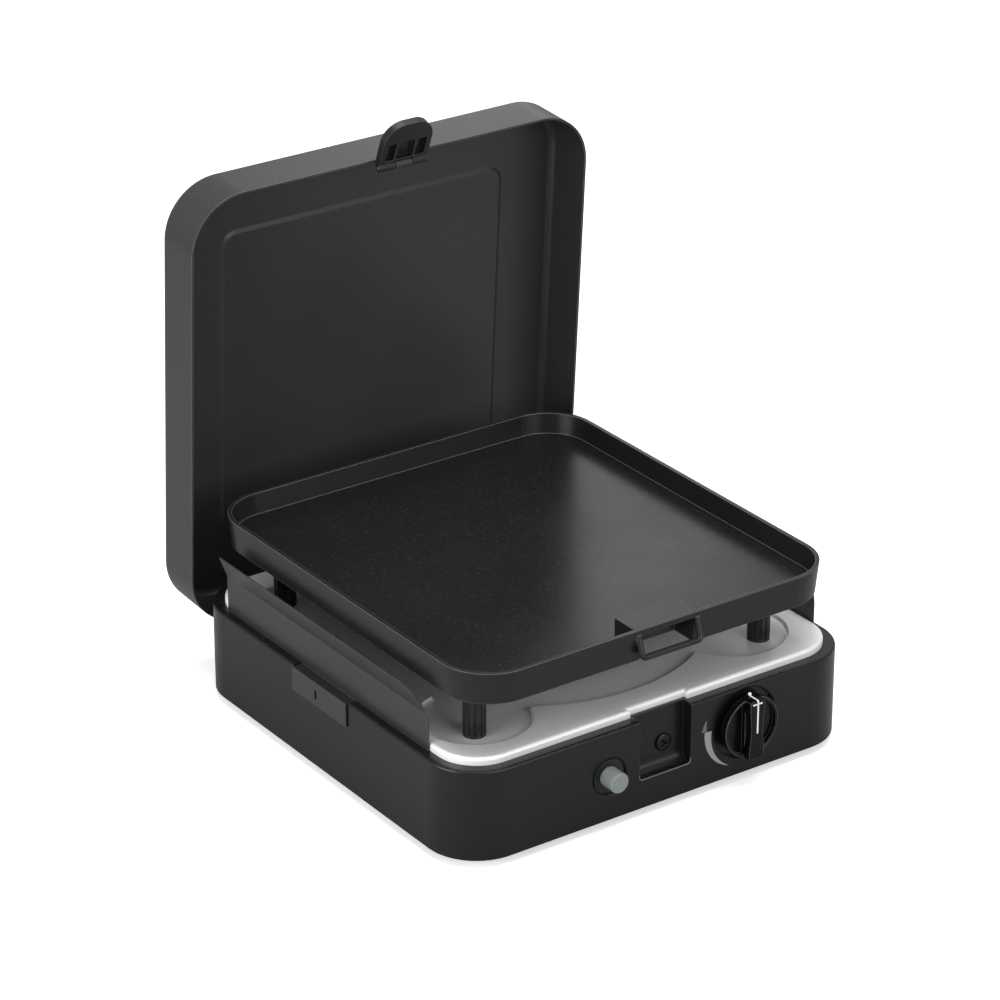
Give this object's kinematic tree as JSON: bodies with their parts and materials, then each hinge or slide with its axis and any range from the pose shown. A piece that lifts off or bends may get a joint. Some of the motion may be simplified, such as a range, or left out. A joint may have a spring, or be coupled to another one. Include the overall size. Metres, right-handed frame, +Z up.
{
  "type": "single-burner gas stove with griddle",
  "caption": "Square single-burner gas camping stove with hinged lid, lift-off griddle on four feet, side windshields, control knob and push igniter.",
  "frame": {"origin": "centre of the bounding box at the table, lid open, in the plane under the feet", "axes": "+Z up, -Y towards the user at the control panel, +X to the user's right"},
  "size_m": [0.3226, 0.3772, 0.3882],
  "materials": {
    "powder_coat": "satin",
    "zinc_sheet": "satin",
    "steel": "satin",
    "stainless": "brushed",
    "cast_coating": "non-stick coating",
    "black_plastic": "matte",
    "sleeve_plastic": "matte",
    "grey_plastic": "matte",
    "foot_rubber": "matte",
    "aluminium": "satin",
    "enamel": "gloss",
    "brass": "satin",
    "copper": "satin",
    "ceramic": "gloss"
  },
  "bodies": {
    "base": {"case": "powder_coat", "bottom_pan": "zinc_sheet", "pan_screw": "steel", "foot": "foot_rubber", "tray": "stainless", "catch_screw": "steel", "hinge_bracket": "zinc_sheet", "hinge_pin": "steel", "burner_bowl": "aluminium", "burner_ring": "aluminium", "burner_cap": "enamel", "burner_bracket": "zinc_sheet", "bracket_screw": "steel", "gas_jet": "brass", "jet_holder": "zinc_sheet", "gas_pipe": "aluminium", "valve_body": "brass", "valve_magnet": "brass", "gas_inlet": "brass", "inlet_nut": "brass", "inlet_pipe": "aluminium", "flame_probe": "copper", "probe_collar": "steel", "spark_pin": "steel", "spark_sleeve": "ceramic", "igniter_body": "black_plastic", "igniter_nut": "black_plastic"},
    "lid": {"lid": "powder_coat", "hinge_rivet": "steel", "hinge_arm": "steel", "latch_pin": "steel"},
    "latch": {"latch": "black_plastic"},
    "griddle": {"griddle": "cast_coating", "griddle_sleeve": "sleeve_plastic"},
    "windshield_left": {"windshield_left": "powder_coat"},
    "windshield_right": {"windshield_right": "powder_coat"},
    "knob_push": {"valve_spindle": "steel", "magnet_rod": "steel"},
    "knob_turn": {"knob": "black_plastic"},
    "button": {"igniter_button": "grey_plastic"}
  },
  "joints": [
    {"name": "lid_hinge", "type": "hinge", "parent": "base", "child": "lid", "pos_m": [0, 0.13191, 0.0527], "axis": [-1, 0, 0], "range_deg": [-25, 0]},
    {"name": "latch_pivot", "type": "hinge", "parent": "lid", "child": "latch", "pos_m": [0, 0.12375, 0.35477], "axis": [1, 0, 0], "range_deg": [-15, 73]},
    {"name": "griddle_lift", "type": "slide", "parent": "base", "child": "griddle", "axis": [0, 0, 1], "range_m": [0, 0.06]},
    {"name": "windshield_left_lift", "type": "slide", "parent": "base", "child": "windshield_left", "axis": [0, 0, 1], "range_m": [0, 0.03]},
    {"name": "windshield_right_lift", "type": "slide", "parent": "base", "child": "windshield_right", "axis": [0, 0, 1], "range_m": [0, 0.03]},
    {"name": "knob_press", "type": "slide", "parent": "base", "child": "knob_push", "axis": [0, 1, 0], "range_m": [0, 0.003], "stiffness_N_per_m": 1000},
    {"name": "knob_rotation", "type": "hinge", "parent": "knob_push", "child": "knob_turn", "pos_m": [0.065, -0.17159, 0.0432], "axis": [0, -1, 0], "range_deg": [0, 180]},
    {"name": "igniter_press", "type": "slide", "parent": "base", "child": "button", "axis": [0, 1, 0], "range_m": [0, 0.005], "stiffness_N_per_m": 1500}
  ]
}
